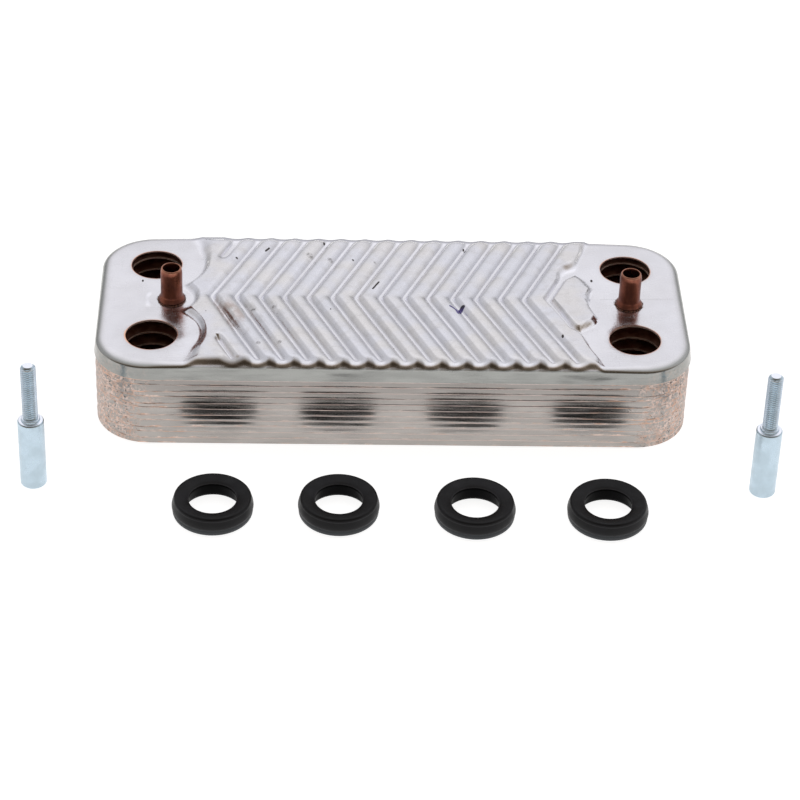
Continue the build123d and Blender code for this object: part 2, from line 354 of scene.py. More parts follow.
def lathe(name, profile, centre, materials, segments=96, closed=True, wobble=None):
    """Turned piece: profile of (radius, z) points round a vertical axis."""
    turn = np.linspace(0, 2 * math.pi, segments, endpoint=False)
    r = profile[:, 0][:, None] + np.zeros(segments)
    z = profile[:, 1][:, None] + np.zeros(segments)
    if wobble:
        r, z = wobble(r, z, turn[None, :])
    x = centre[0] + r * np.cos(turn)
    y = centre[1] + r * np.sin(turn)
    points = np.stack([x, y, z], -1).reshape(-1, 3)
    faces = ring_faces(len(profile), segments, close_rows=closed)
    return new_mesh(name, points, faces[:, ::-1], materials)


# ---- procedural materials
class Nodes:
    """Builds nodes in one tree: each call adds a node and gives back its output."""

    def __init__(self, tree):
        self.tree = tree

    def node(self, kind, **settings):
        made = self.tree.nodes.new("ShaderNode" + kind)
        for key, value in settings.items():
            setattr(made, key, value)
        return made

    def feed(self, socket, value):
        if isinstance(value, bpy.types.NodeSocket):
            self.tree.links.new(value, socket)
        else:
            socket.default_value = value

    def calc(self, op, a, b=0.0, c=0.0, clamp=False):
        made = self.node("Math", operation=op, use_clamp=clamp)
        for socket, value in zip(made.inputs, (a, b, c)):
            self.feed(socket, value)
        return made.outputs[0]

    def vector(self, op, a, b=(0, 0, 0), scale=1.0):
        made = self.node("VectorMath", operation=op)
        self.feed(made.inputs[0], a)
        if op == "SCALE":
            self.feed(made.inputs["Scale"], scale)
        else:
            self.feed(made.inputs[1], b)
        return made.outputs["Value" if op == "DISTANCE" else "Vector"]

    def split(self, v):
        made = self.node("SeparateXYZ")
        self.feed(made.inputs[0], v)
        return tuple(made.outputs)

    def join(self, x=0.0, y=0.0, z=0.0):
        made = self.node("CombineXYZ")
        for socket, value in zip(made.inputs, (x, y, z)):
            self.feed(socket, value)
        return made.outputs[0]

    def ramp(self, value, low, high, to_low=0.0, to_high=1.0):
        """Smooth step from low to high."""
        made = self.node("MapRange", interpolation_type="SMOOTHSTEP")
        for name, v in zip(("Value", "From Min", "From Max", "To Min", "To Max"),
                           (value, low, high, to_low, to_high)):
            self.feed(made.inputs[name], v)
        return made.outputs["Result"]

    def fall(self, value, low, high):
        """Smooth step from 1 down to 0."""
        return self.ramp(value, low, high, 1, 0)

    def both(self, *masks):
        """Product of masks; a number among them weakens the rest."""
        return reduce(lambda a, b: self.calc("MULTIPLY", a, b), masks)

    def either(self, *masks):
        return reduce(lambda a, b: self.calc("MAXIMUM", a, b), masks)

    def mix(self, mask, a, b):
        made = self.node("Mix", data_type="RGBA")
        colours = [s for s in made.inputs if s.type == "RGBA"]
        self.feed(made.inputs[0], mask)
        for socket, value in zip(colours, (a, b)):
            self.feed(socket, (*value, 1) if isinstance(value, tuple) else value)
        return [s for s in made.outputs if s.type == "RGBA"][0]


class Net(Nodes):
    """The nodes of one material, in millimetres, with a colour that is painted layer by layer."""

    def __init__(self, name, colour, metallic, roughness):
        self.material = bpy.data.materials.new(name)
        self.material.use_nodes = True
        super().__init__(self.material.node_tree)
        self.colour = colour
        self.shader = self.tree.nodes["Principled BSDF"]
        self.shader.inputs["Base Color"].default_value = (*colour, 1)
        self.shader.inputs["Metallic"].default_value = metallic
        self.shader.inputs["Roughness"].default_value = roughness
        self.place_node = self.node("TexCoord")
        self.mm = self.vector("SCALE", self.place_node.outputs["Object"], scale=1 / MM)
        self.x, self.y, self.z = self.split(self.mm)

    def noise(self, size, detail=3.0, roughness=0.55, by=(1, 1, 1), distortion=0.0):
        """Noise with features of about `size`, with the axes scaled by `by`."""
        made = self.node("TexNoise")
        self.feed(made.inputs["Vector"], self.vector("MULTIPLY", self.mm, by))
        made.inputs["Scale"].default_value = 1 / size
        made.inputs["Detail"].default_value = detail
        made.inputs["Roughness"].default_value = roughness
        made.inputs["Distortion"].default_value = distortion
        return made.outputs["Fac"]

    def cells(self, size, by=(1, 1, 1)):
        """Distance from the middle of a random cell, and the cell's three random numbers."""
        made = self.node("TexVoronoi")
        self.feed(made.inputs["Vector"], self.vector("MULTIPLY", self.mm, by))
        made.inputs["Scale"].default_value = 1 / size
        return made.outputs["Distance"], self.split(made.outputs["Color"])

    def near(self, point, reach, soft):
        """Mask that is 1 within `reach` of a plan point, fading over `soft`."""
        flat = self.join(self.x, self.y)
        return self.fall(self.vector("DISTANCE", flat, (*point, 0)), reach, reach + soft)

    def stroke(self, a, b, width):
        """Mask along a plan segment."""
        ax, ay = a
        dx, dy = b[0] - ax, b[1] - ay
        length = dx * dx + dy * dy
        along = self.calc("ADD", self.both(self.x, dx / length), self.both(self.y, dy / length))
        along = self.calc("SUBTRACT", along, (ax * dx + ay * dy) / length, clamp=True)
        spot = self.join(self.calc("MULTIPLY_ADD", along, dx, ax),
                         self.calc("MULTIPLY_ADD", along, dy, ay))
        off = self.vector("DISTANCE", self.join(self.x, self.y), spot)
        return self.fall(off, width * 0.7, width)

    def ports(self, reach, soft):
        """Mask round the four port holes."""
        flat = self.join(self.calc("ABSOLUTE", self.x), self.calc("ABSOLUTE", self.y))
        off = self.vector("DISTANCE", flat, (PORT_X, PORT_Y, 0))
        return self.fall(off, reach, reach + soft)

    def paint(self, mask, colour, share=1.0):
        """Lays a colour over the painted ones where the mask is 1, as strongly as `share`."""
        if share != 1.0:
            mask = self.both(mask, share)
        self.colour = self.mix(mask, self.colour, colour)

    def bump(self, *layers):
        """Bumps: each layer is a height mask and its depth in millimetres."""
        normal = None
        for height, depth in layers:
            made = self.node("Bump")
            made.inputs["Distance"].default_value = depth * MM
            self.feed(made.inputs["Height"], height)
            if normal:
                self.feed(made.inputs["Normal"], normal)
            normal = made.outputs["Normal"]
        self.feed(self.shader.inputs["Normal"], normal)

    def done(self, roughness, metallic=None):
        """Connects the painted colour and the other values, and gives back the material."""
        for name, value in (("Base Color", self.colour), ("Roughness", roughness),
                            ("Metallic", metallic)):
            if value is not None:
                self.feed(self.shader.inputs[name], value)
        return self.material


def shade(colour, by):
    return tuple(by * c for c in colour)


STEEL = (0.72, 0.705, 0.725)
# the cover's skirt steel, a darker copy of the top's steel: painted shade on the sides
SKIRT_STEEL = (0.34, 0.345, 0.33)
STRIP_STEEL = (0.48, 0.45, 0.425)
COPPER = (0.62, 0.30, 0.185)
BROWN_COPPER = (0.22, 0.075, 0.045)
SOOT = (0.05, 0.042, 0.04)
INK = (0.075, 0.045, 0.30)
DRIED_INK = (0.012, 0.008, 0.04)
# marks on the cover, by plan position: strokes have two ends and a width, spots a reach and a fade
BURNT_STROKES = [((-6.4, 4.5), (-4.4, 8.4), 0.36), ((-41.5, 26.4), (-40.3, 28.4), 0.3)]
BURNT_SPOTS = [((-50.9, 22.3), 0.22, 0.35), ((-12.7, 21.6), 0.18, 0.35)]
SMUDGES = [((-5.5, 20.3), 0.2, 0.5), ((-20.1, 21.7), 0.2, 1.1), ((-26.9, 24.3), 0.3, 1.3),
           ((-44.9, -7.9), 0.2, 0.9), ((-38.1, -5.8), 0.3, 0.9), ((-43.0, -26.7), 0.3, 0.8),
           ((-36.3, -26.0), 0.3, 0.8)]
PEN_TICK = [((18.4, -4.9), (20.3, -6.7), 0.42), ((20.9, -6.5), (22.4, -4.4), 0.95),
            ((20.2, -6.6), (20.9, -8.8), 0.45)]
DRIED_SPOT = ((22.7, -3.9), 0.5, 1.0)
# a brown painted reflection on the first apex's front arm
HEAT_TINT = ((FIRST_APEX_X + 3.4, APEX_Y - 3), (FIRST_APEX_X + 8.4, -13), 3.2)
# a painted highlight on the front left port's copper lip
BRIGHT_LIP = ((-PORT_X - PORT_RADIUS, -PORT_Y - 1), 2.4, 2.4)
SCRATCH = ((PORT_X - 9.5, 2.6), (PORT_X + 14.5, 3.4), 0.16)


def cover_steel():
    """Pressed stainless sheet: pickled grain, tints, soot dots, scratches and an ink tick."""
    net = Net("pressed_stainless", STEEL, 1.0, 0.3)
    out = net.calc("ABSOLUTE", net.x)
    forward = net.calc("MULTIPLY", net.y, -1.0)
    blotch = net.noise(3.2, 4, 0.6)
    grain = net.noise(0.32, 3, 0.65)
    net.colour = (0.70, 0.70, 0.74)
    net.paint(net.ramp(net.noise(17, 3, 0.5, (1, 1.3, 1)), 0.38, 0.64), (0.72, 0.70, 0.69))
    net.paint(net.ramp(blotch, 0.46, 0.72, 0, 0.35), (0.55, 0.53, 0.52))
    net.paint(net.ramp(grain, 0.5, 0.8, 0, 0.35), (0.47, 0.455, 0.46))
    # painted highlight: the pads and the groove bottoms, the lowest faces, are painted brightest
    net.paint(net.fall(net.z, PAD_Z + 0.2, PAD_Z + 0.95), (0.885, 0.88, 0.92), 0.8)
    # slopes of the herringbone, all painted shade: a thin dark line at the foot of the rear ones,
    # faint darker tints on both sides, and darker ridge ends over the front bend
    on_ridges = net.ramp(net.z, PAD_Z + 0.1, PAD_Z + 0.5)
    across = net.node("Attribute", attribute_name="relief").outputs["Vector"]
    rear, crest = net.split(across)[:2]
    line = net.both(net.ramp(rear, 0.34, 0.48), net.fall(rear, 0.68, 0.86),
                    net.ramp(crest, 0.2, 0.5), net.ramp(net.noise(3, 3), 0.3, 0.5, 0.45, 1),
                    net.ramp(net.calc("ABSOLUTE", net.y), 32.6, 33.8, 1, 0))
    herringbone = net.both(on_ridges, net.fall(out, 55, 66))
    net.paint(net.both(line, herringbone), (0.27, 0.27, 0.27), 0.62)
    net.paint(net.both(net.ramp(rear, 0.15, 0.8), herringbone), (0.47, 0.48, 0.47), 0.12)
    net.paint(net.both(net.ramp(rear, -0.15, -0.8), herringbone), (0.52, 0.53, 0.58), 0.08)
    cusp = net.both(net.ramp(crest, -0.3, -1.0), net.ramp(forward, 33.2, 35.4), herringbone)
    net.paint(cusp, (0.20, 0.18, 0.16), 0.6)
    # painted shade along the rear bend
    rear_bend = net.both(net.ramp(net.y, 33.9, 35.0), net.ramp(net.z, PAD_Z - 0.6, PAD_Z + 0.1))
    net.paint(rear_bend, (0.40, 0.40, 0.43), 0.85)
    # painted reflection on the front arms near their apexes, grey-green, fading towards the right
    stain = net.both(net.ramp(rear, -0.1, -0.6), net.ramp(net.x, -62, -8, 1, 0.1),
                     net.ramp(forward, -1, 5), net.ramp(forward, 8, 26, 1, 0.15),
                     net.ramp(net.noise(4, 3), 0.35, 0.6), on_ridges)
    net.paint(stain, (0.30, 0.285, 0.25), 0.42)
    # painted shade down the bend into the skirt's darker steel, and painted shadow below the valleys
    # of the front one
    bend = net.mix(net.ramp(net.z, PAD_Z - 0.6, PAD_Z - 0.1), SKIRT_STEEL, (0.62, 0.61, 0.62))
    net.paint(net.fall(net.z, PAD_Z - 0.35, PAD_Z + 0.3), bend)
    under = net.both(net.ramp(crest, 0.1, -0.8), net.ramp(forward, 34.6, 36.0),
                     net.ramp(net.z, PAD_Z - 1.0, PAD_Z - 0.6), net.fall(out, 50, 62))
    net.paint(under, (0.16, 0.14, 0.12), 0.7)
    # painted reflection: a brown streak on the first apex's front arm
    tint = net.both(net.stroke(*HEAT_TINT), net.ramp(net.noise(5, 3), 0.35, 0.6))
    net.paint(tint, (0.40, 0.31, 0.27), 0.6)
    # soot: dots and short dashes in random cells, smears, and the marks placed one by one
    dots, chance = net.cells(8.5)
    speck = net.both(net.calc("LESS_THAN", dots, net.ramp(chance[1], 0, 1, 0.012, 0.055)),
                     net.ramp(chance[0], 0.58, 0.6))
    dashes, chance = net.cells(17, (1.5, 0.75, 1))
    dash = net.both(net.calc("LESS_THAN", dashes, 0.035), net.ramp(chance[2], 0.66, 0.68))
    smear = net.both(net.ramp(net.noise(0.9, 4, 0.7), 0.66, 0.74),
                     net.ramp(net.noise(9, 2), 0.52, 0.62))
    burnt = [net.stroke(*mark) for mark in BURNT_STROKES] + [net.near(*mark) for mark in BURNT_SPOTS]
    smudged = net.both(net.either(*(net.near(*mark) for mark in SMUDGES)),
                       net.ramp(net.noise(1.2, 3), 0.35, 0.65, 0.1, 0.6))
    soot = net.either(speck, dash, *burnt, smudged, net.both(smear, 0.75))
    net.paint(soot, SOOT)
    # solder stain at the tube feet, a copper lip round the ports, and a painted highlight at its front
    # left end
    feet = net.either(*(net.near((TUBE_X[s], 0), 4.35, 0.9) for s in ("left", "right")))
    feet = net.both(feet, net.ramp(net.noise(1.1, 3, 0.6), 0.42, 0.56))
    net.paint(feet, (0.12, 0.075, 0.06), 0.85)
    lip = net.both(net.ports(PORT_RADIUS, 0.42), net.ramp(net.noise(6, 2), 0.3, 0.6, 0.35, 1))
    net.paint(lip, COPPER)
    net.paint(net.both(net.ports(PORT_RADIUS + 0.15, 0.5), net.near(*BRIGHT_LIP)),
              (0.85, 0.50, 0.34))
    # a checker's pen tick on the herringbone
    ink = net.either(*(net.stroke(*mark) for mark in PEN_TICK))
    net.paint(ink, net.mix(net.near(*DRIED_SPOT), INK, DRIED_INK))
    metallic = net.calc("SUBTRACT", 1.0, net.either(ink, net.both(soot, 0.8)))
    # scratches: long thin ridges of stretched noise, and one long scratch on the right pad
    hair = net.ramp(net.noise(0.5, 2, 0.5, (0.035, 1, 1), 0.4), 0.62, 0.7)
    scuff = net.ramp(net.noise(0.45, 2, 0.5, (1, 0.05, 1), 0.6), 0.66, 0.72)
    rough = net.ramp(blotch, 0.3, 0.75, 0.17, 0.28)
    rough = net.calc("ADD", rough, net.both(net.either(hair, scuff), 0.12))
    rough = net.calc("ADD", rough, net.both(soot, 0.3))
    net.bump((net.noise(26, 2), 0.5), (blotch, 0.035), (grain, 0.011), (hair, -0.004),
             (net.stroke(*SCRATCH), -0.03))
    return net.done(rough, metallic)


def side_steel(name, base, ends, dirt):
    """Skirt steel: `ends` is how much copper the rounded ends show, `dirt` how much it darkens
    towards the top and how strong the painted shadow along the seams is.
    """
    net = Net(name, base, 1.0, 0.3)
    cloud = net.noise(9, 3, 0.55, (0.6, 1, 2.2))
    streak = net.noise(1.6, 4, 0.6, (0.12, 1, 1.6))
    net.paint(net.ramp(cloud, 0.36, 0.66), shade(base, 0.86))
    net.paint(net.ramp(streak, 0.5, 0.75, 0, 0.5), shade(base, 0.72))
    if dirt:
        net.paint(net.ramp(net.z, 12, 24, 0.34, 0.82), shade(base, 0.58))
    out = net.calc("ABSOLUTE", net.x)
    edge = net.calc("ADD", out, net.ramp(net.noise(5, 4, 0.6), 0.2, 0.8, -6, 6))
    corner = net.ramp(edge, 76, 86)
    fine = net.noise(0.85, 4, 0.7)
    # copper: speckle on the rounded ends and flecks along the seams
    seam = net.node("Attribute", attribute_name="above_edge").outputs["Fac"]
    flecks = net.both(net.fall(seam, 0.25, 0.75),
                      net.ramp(net.noise(1.3, 4, 0.65, (0.25, 1, 1)), 0.5, 0.62),
                      net.ramp(out, 40, 80, 0.35, 1.0))
    copper = net.either(net.both(corner, net.ramp(fine, 0.44, 0.58)), flecks)
    net.paint(copper, net.mix(net.ramp(net.noise(2.4, 2), 0.4, 0.6), (0.70, 0.55, 0.485),
                              (0.57, 0.375, 0.29)), ends)
    # dark pits on the ends, and a painted shadow line right above the edge
    pits = net.both(corner, net.ramp(net.noise(1.0, 3, 0.7, (1, 1, 1.3)), 0.6, 0.66))
    grime = net.both(net.fall(seam, 0.16, 0.34),
                     net.ramp(net.noise(1.6, 4, 0.7, (0.10, 1, 1)), 0.42, 0.56),
                     net.ramp(net.z, 9, 17, 0.1, 1),
                     net.calc("SUBTRACT", 1.0, net.both(corner, 0.8)))
    dark = net.either(net.both(pits, ends), net.both(grime, dirt))
    net.paint(dark, SOOT)
    rough = net.ramp(streak, 0.3, 0.75, 0.13, 0.24)
    rough = net.calc("ADD", rough, net.both(net.either(corner, dark), 0.2 * ends))
    net.bump((net.noise(12, 2, 0.5, (0.5, 1, 1.6)), 0.03 if dirt else 0.3),
             (streak, 0.008), (net.both(fine, corner), 0.16 * ends))
    return net.done(rough)


def inner_steel():
    """Copper-washed plate metal inside the pack, as the ports show it."""
    net = Net("copper_washed_steel", BROWN_COPPER, 0.7, 0.3)
    wash = net.noise(3.5, 4, 0.6)
    net.colour = (0.40, 0.185, 0.14)
    net.paint(net.ramp(wash, 0.35, 0.7), (0.60, 0.37, 0.295))
    # painted highlight on the edges of the port holes
    net.paint(net.ports(PORT_RADIUS, 0.3), (0.98, 0.80, 0.72))
    net.bump((net.noise(1.2, 3), 0.05))
    return net.done(net.ramp(wash, 0.3, 0.7, 0.3, 0.5))


def braze_copper():
    """Copper that ran into the seams: orange to dark brown, beaded and slightly rough."""
    net = Net("braze_copper", COPPER, 1.0, 0.34)
    net.colour = (0.72, 0.55, 0.47)
    net.paint(net.ramp(net.noise(2.6, 4, 0.65, (0.4, 1, 1)), 0.44, 0.66), (0.26, 0.18, 0.145))
    net.paint(net.ramp(net.noise(7, 2), 0.5, 0.68), (0.70, 0.40, 0.27))
    net.paint(net.ramp(net.calc("ABSOLUTE", net.x), 45, 78, 0.75, 0), (0.72, 0.60, 0.57))
    bead = net.noise(0.5, 3)
    net.bump((bead, 0.05))
    return net.done(net.ramp(bead, 0.3, 0.7, 0.26, 0.46))


def tube_copper():
    """Oxidised copper tube, browner at its foot, brighter on its cut rim."""
    net = Net("tube_copper", BROWN_COPPER, 1.0, 0.36)
    top = box_mm("copper_tube_left")[1][2]
    cloud = net.noise(3.4, 4, 0.6, (1, 1, 0.6))
    net.colour = (0.31, 0.112, 0.072)
    net.paint(net.ramp(cloud, 0.35, 0.68), (0.18, 0.064, 0.045))
    net.paint(net.ramp(net.z, top - 0.9, top - 0.1), (0.42, 0.20, 0.13), 0.7)
    foot = net.both(net.fall(net.z, PAD_Z + 0.2, PAD_Z + 1.7), net.ramp(cloud, 0.3, 0.6))
    net.paint(foot, (0.10, 0.045, 0.034), 0.75)
    drawn = net.noise(0.5, 2, 0.5, (1, 1, 0.06))
    net.bump((cloud, 0.04), (drawn, 0.008), (net.noise(0.3, 3), 0.01))
    return net.done(net.ramp(cloud, 0.3, 0.7, 0.26, 0.44))


def dark_solder():
    """Scorched flux and solder beads round the foot of each tube."""
    net = Net("scorched_braze", (0.06, 0.035, 0.03), 1.0, 0.4)
    grain = net.noise(0.5, 3, 0.6)
    net.colour = (0.05, 0.03, 0.026)
    net.paint(net.ramp(grain, 0.4, 0.62), (0.26, 0.13, 0.09))
    net.bump((grain, 0.08))
    return net.done(net.ramp(grain, 0.3, 0.7, 0.3, 0.5))


def black_rubber(name, light, sheen, band):
    """Moulded EPDM: near black, faintly dusty, with mould grain, and a greyer foot band."""
    net = Net(name, (0.009, 0.009, 0.0105), 0.0, 0.5)
    dust = net.noise(4, 4, 0.6)
    net.colour = shade((0.0026, 0.0026, 0.0034), light)
    net.paint(net.ramp(dust, 0.42, 0.75), shade((0.0056, 0.0056, 0.0073), light))
    net.paint(net.ramp(net.noise(11, 2), 0.5, 0.66, 0, 0.6 * light), (0.012, 0.012, 0.016))
    # painted highlight along the inner lip of the mouth
    lip = net.both(net.ramp(net.z, 5.2, 5.32), net.ramp(net.z, 5.44, 5.6, 0.8, 0))
    net.paint(lip, (0.030, 0.030, 0.033), light)
    net.paint(net.ramp(net.z, 2.1, 2.7, band, 0), (0.040, 0.045, 0.050))
    net.shader.inputs["Specular IOR Level"].default_value = sheen
    net.bump((net.noise(0.28, 3, 0.6), 0.012), (net.noise(0.6, 2, 0.5, (1, 1, 5)), 0.01))
    return net.done(net.ramp(dust, 0.3, 0.7, 0.38, 0.52))


def zinc_plate():
    """Bright blue-passivated zinc with turning marks, and a painted highlight on the faces that look
    up.
    """
    net = Net("blue_zinc", (0.68, 0.78, 0.83), 1.0, 0.3)
    cloud = net.noise(5, 3, 0.55)
    net.colour = (0.52, 0.635, 0.72)
    net.paint(net.ramp(cloud, 0.36, 0.66), (0.47, 0.575, 0.645))
    net.paint(net.ramp(net.noise(1.1, 4, 0.7), 0.66, 0.74), (0.33, 0.39, 0.42), 0.5)
    # painted highlight on the faces that look up
    faced = net.ramp(net.split(net.place_node.outputs["Normal"])[2], 0.75, 0.97)
    net.paint(faced, (0.90, 0.93, 1.0))
    net.bump((net.noise(0.35, 2, 0.5, (0.12, 0.12, 1)), 0.006), (cloud, 0.02))
    return net.done(net.ramp(cloud, 0.3, 0.7, 0.25, 0.36))


# ---- pressed trays
EDGE_INSET = 2.8          # how far the web's mesh stays in from the foot of the skirt
ARC_STEPS = 18            # rows on each corner of the web
SKIRT_SHARES = (0.12, 0.3, 0.48, 0.64, 0.78, 0.86, 0.93, 0.98, 1.0)
DENT_DEPTH = 0.035
SKIRT_INSET = 0.05        # keeps the dents within the CAD's outline
RIM_SINK = 0.10           # how far the rims of the cover's holes are drawn down,
RIM_REACH = 1.6           # and how wide a ring round a hole that takes in
SHEET_EDGE_ANGLE = 40     # degrees between faces from which an edge of a sheet is sharp
LIP_CURL = 0.045          # how far the lower edge of a skirt curls in
STRIP_LEAN = 0.050        # extra draft of the part of a skirt that shows


def spread(start, end, step):
    """Even places from start to end, no further apart than `step`."""
    return np.linspace(start, end, max(2, int(math.ceil(abs(end - start) / step)) + 1))


def web_rows(b, corner, step):
    """Places in y of the web's rows: by angle on the corners."""
    straight = b - corner
    inner = spread(0, straight, step)
    arc = straight + corner * np.sin(np.linspace(0, math.pi / 2, ARC_STEPS + 1)[1:])
    half = np.concatenate([inner, arc])
    return np.concatenate([-half[:0:-1], half])


def web_columns(y, a, b, corner, point, apex_y, marks, end_step):
    """Places in x along the row at y: aligned with the herringbone, even towards both ends."""
    over = max(0.0, abs(y) - (b - corner))
    reach = a - corner + math.sqrt(max(0.0, corner * corner - over * over))
    middle = np.sort(point * (marks + ARM_SLOPE * soft_abs(y - apex_y)))
    n_end = int(math.ceil((a - abs(marks[0])) / end_step))
    left = np.linspace(-reach, middle[0], n_end + 1)[:-1]
    right = np.linspace(middle[-1], reach, n_end + 1)[1:]
    return np.concatenate([left, middle, right])


def outline_normals(loop, a, b, corner):
    """Outward directions along the web's rounded outline."""
    centre = np.clip(loop[:, :2], (corner - a, corner - b), (a - corner, b - corner))
    away = loop[:, :2] - centre
    return away / np.linalg.norm(away, axis=1)[:, None]


def bend_drop(y):
    """How far below the pads the bend ends: further at the rear than in front."""
    share = 0.5 + 0.5 * np.clip(y / 30, -1, 1)
    return BEND_DROP["front"] + (BEND_DROP["rear"] - BEND_DROP["front"]) * share


def bend_radius(x, height):
    """Plan width of the bend for a height above the pads."""
    at_end = BEND_END_EXTRA * towards_ends(x, *BEND_END)
    return BEND_RADIUS + at_end + BEND_RIDGE_EXTRA * np.clip(height / PRESS, 0, 1)


def bend_fall(sine):
    """Share of its drop that the bend has behind it where its surface turns to `sine`."""
    return (1 - sine) / (1 - math.sin(DRAFT))


def dents(x, y, z):
    """Shallow dents and waves that all the nested skirts share."""
    field = [noise.noise(Vector((p / 17, q / 17, r / 5))) + 0.4 * noise.noise(
        Vector((p / 5, q / 5, r / 2.2 + 9))) for p, q, r in zip(x.flat, y.flat, z.flat)]
    return np.array(field).reshape(x.shape)


def tray(k, raise_share, point, apex_y, offsets, row_step, end_step, holes, materials, flaw):
    """Plate k of the pack: pressed web, rounded bend and tapered skirt, as a solid sheet.

    `holes` are (x, y, radius); `flaw` is the depth of the web's waviness.
    """
    node = NODES[k]
    half_x, half_y = box_mm(node)[1][:2]
    extra = COVER_EXTRA if k == 0 else 0.0
    edge_z = (PLATES - 1 - k) * PITCH
    pad_z = edge_z + SKIRT + extra
    a, b, corner = half_x - EDGE_INSET, half_y - EDGE_INSET, CORNER_RADIUS - EDGE_INSET
    turns = FIRST_APEX_X + CHEVRON_PITCH * np.arange(-1, CHEVRONS)
    marks = (turns[:, None] + np.asarray(offsets)[None, :]).ravel()
    rows = web_rows(b, corner, row_step)
    grid = np.array([[(x, y) for x in web_columns(y, a, b, corner, point, apex_y, marks, end_step)]
                     for y in rows])
    n_rows, n_cols = grid.shape[:2]
    x, y = grid[..., 0].ravel(), grid[..., 1].ravel()
    quads = ring_faces(n_rows, n_cols, close_columns=False)
    keep = np.ones(len(quads), bool)
    for hx, hy, radius in holes:
        off = np.hypot(x - hx, y - hy)
        inside = np.hypot(x[quads].mean(1) - hx, y[quads].mean(1) - hy) < radius
        rim = np.intersect1d(quads[inside], quads[keep & ~inside])
        scale = radius / off[rim]
        x[rim] = hx + (x[rim] - hx) * scale
        y[rim] = hy + (y[rim] - hy) * scale
        keep &= ~inside
    quads = quads[keep]
    z = pad_z + PRESS * raise_share(x, y)
    beyond = np.maximum(np.abs(x) - (a - corner), 0), np.maximum(np.abs(y) - (b - corner), 0)
    inward = np.where((beyond[0] > 0) & (beyond[1] > 0), corner - np.hypot(*beyond),
                      np.minimum(a - np.abs(x), b - np.abs(y)))
    bend_low = pad_z - bend_drop(y)
    bend = bend_radius(x, z - pad_z)
    skirt_in = EDGE_INSET - (bend_low - edge_z) * math.tan(DRAFT)
    into = np.clip(bend * math.cos(DRAFT) - skirt_in - inward, 0, None) / bend
    z = z - (z - bend_low) * bend_fall(np.sqrt(1 - into * into))
    if flaw:
        z = z + flaw * ripple(x, y, 23, 5.0) + 0.35 * flaw * ripple(x, y, 5, 8.0)
        away = np.min([np.hypot(x - hx, y - hy) - radius for hx, hy, radius in holes], axis=0)
        z = z - RIM_SINK * smooth(1 - away / RIM_REACH)
    points = [np.stack([x, y, z], -1)]
    index = np.arange(n_rows * n_cols).reshape(n_rows, n_cols)
    loop = np.concatenate([index[0, :-1], index[:-1, -1], index[-1, :0:-1], index[:0:-1, 0]])
    rim = points[0][loop]
    out = outline_normals(rim, a, b, corner)
    bend_low, bend, skirt_in, into = (v[loop] for v in (bend_low, bend, skirt_in, into))
    top = bend_low + (rim[:, 2] - bend_low) / (1 - bend_fall(np.sqrt(1 - into * into)))
    first_turn = np.arccos(np.maximum(into, 0))
    wave = edge_wave(rim[:, 0], rim[:, 1], k)
    rings = []
    for share in np.linspace(1 / BEND_STEPS, 1, BEND_STEPS):
        turn = first_turn + (DRAFT - first_turn) * share
        offset = skirt_in - bend * (math.cos(DRAFT) - np.cos(turn))
        rings.append((offset, top - (top - bend_low) * bend_fall(np.sin(turn))))
    bend_z = rings[-1][1]
    for share in SKIRT_SHARES:
        level = bend_z + (edge_z + wave - bend_z) * share
        lip = LIP_CURL * smooth((edge_z + 0.5 - level) / 0.5) if k else 0.0
        lean = STRIP_LEAN * np.clip(level - edge_z, 0, PITCH) if k else 0.0
        rings.append((EDGE_INSET - (level - edge_z) * math.tan(DRAFT) - lip - lean, level))
    faces = [quads]
    before = loop
    start = len(x)
    turned = len(loop)
    for i, (offset, level) in enumerate(rings):
        spot = rim[:, :2] + out * np.asarray(offset).reshape(-1, 1)
        share = smooth((i - BEND_STEPS) / 3)
        push = share * (DENT_DEPTH * dents(spot[:, 0], spot[:, 1], level) - SKIRT_INSET)
        spot = spot + out * push[:, None]
        points.append(np.column_stack([spot, level]))
        here = start + np.arange(turned)
        faces.append(np.stack([before, here, np.roll(here, -1), np.roll(before, -1)], -1))
        before, start = here, start + turned
    faces = np.concatenate(faces)
    web_count = len(quads) + turned * BEND_STEPS
    indices = np.where(np.arange(len(faces)) < web_count, 0, 1)
    points = np.concatenate(points)
    above_edge = np.full(len(points), PITCH)
    above_edge[len(x):] = points[len(x):, 2] - np.tile(edge_z + wave, len(rings))
    used, faces = np.unique(faces, return_inverse=True)
    obj = new_mesh(node + "_pressing", points[used], faces.reshape(-1, 4), materials, indices)
    above = obj.data.attributes.new("above_edge", "FLOAT", "POINT")
    above.data.foreach_set("value", above_edge[used].astype(np.float32))
    if k == 0:
        slopes = np.stack([*relief(x, y), np.zeros_like(x)], -1)
        slopes = np.concatenate([slopes] + [slopes[loop]] * len(rings))
        across = obj.data.attributes.new("relief", "FLOAT_VECTOR", "POINT")
        across.data.foreach_set("vector", slopes[used].ravel().astype(np.float32))
    solid = obj.modifiers.new("sheet", "SOLIDIFY")
    solid.thickness = (SHEET + extra) * MM
    solid.offset = -1
    solid.use_even_offset = True
    solid.material_offset = 2
    solid.material_offset_rim = 2
    return finish_shading(apply_modifiers(obj), SHEET_EDGE_ANGLE)


def skirt_outline(k, step=1.1):
    """Points and outward directions along the foot of plate k's skirt."""
    straight_x, straight_y = box_mm(NODES[k])[1][:2] - CORNER_RADIUS
    points, out = [], []
    for quarter in range(4):
        sx, sy = ((1, 1), (-1, 1), (-1, -1), (1, -1))[quarter]
        centre = np.array([sx * straight_x, sy * straight_y])
        turns = math.pi / 2 * quarter + np.linspace(0, math.pi / 2, 28)
        side = 2 * (straight_x if quarter % 2 == 0 else straight_y)
        way = np.array([-math.sin(turns[-1]), math.cos(turns[-1])])
        for t in turns:
            direction = np.array([math.cos(t), math.sin(t)])
            points.append(centre + CORNER_RADIUS * direction)
            out.append(direction)
        last = points[-1]
        for s in spread(0, side, step)[1:-1]:
            points.append(last + way * s)
            out.append(direction)
    return np.array(points), np.array(out)


BEAD_INSET = 0.22
BEAD_DROP = 0.10


